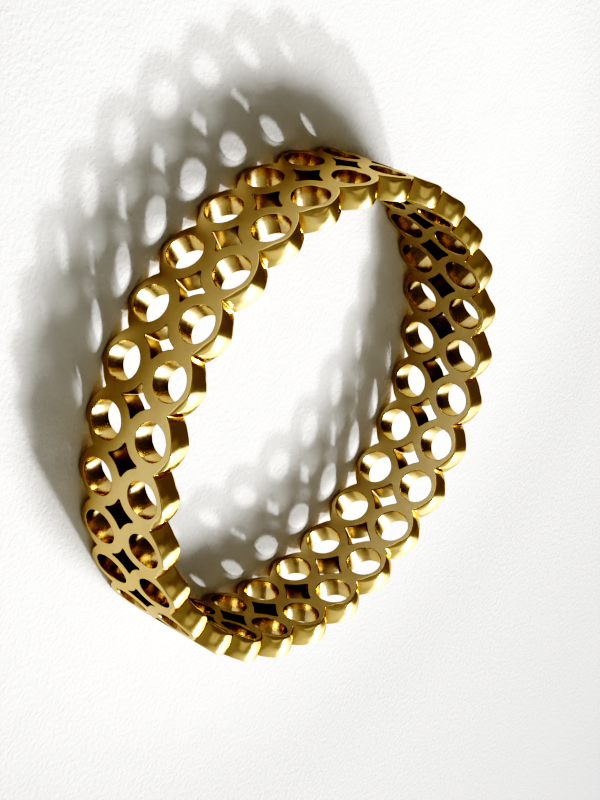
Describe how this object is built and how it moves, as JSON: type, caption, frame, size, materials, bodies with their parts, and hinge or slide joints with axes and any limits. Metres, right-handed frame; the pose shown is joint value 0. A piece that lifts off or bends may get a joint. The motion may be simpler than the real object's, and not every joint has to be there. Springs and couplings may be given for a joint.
{
  "type": "filigree openwork ring",
  "caption": "One-piece openwork finger ring: a thin round band pierced with two rows of round holes, four-cusped openings between them and scalloped edges.",
  "frame": {"origin": "on the ring's axis, in the plane of the lower scalloped edge that the ring rests on as it lies on its side", "axes": "+Z along the ring's axis, which is the finger's axis, away from the surface; +X through the middle of one annulus of each row, +Y a quarter turn from it"},
  "size_m": [0.019, 0.019, 0.0041],
  "materials": {
    "gold_metal": "warm yellow gold colour, satin on the outer and inner faces, polished on the walls of the holes, openings and scallops"
  },
  "bodies": {
    "root": {"openwork_band": "gold_metal"}
  },
  "joints": []
}
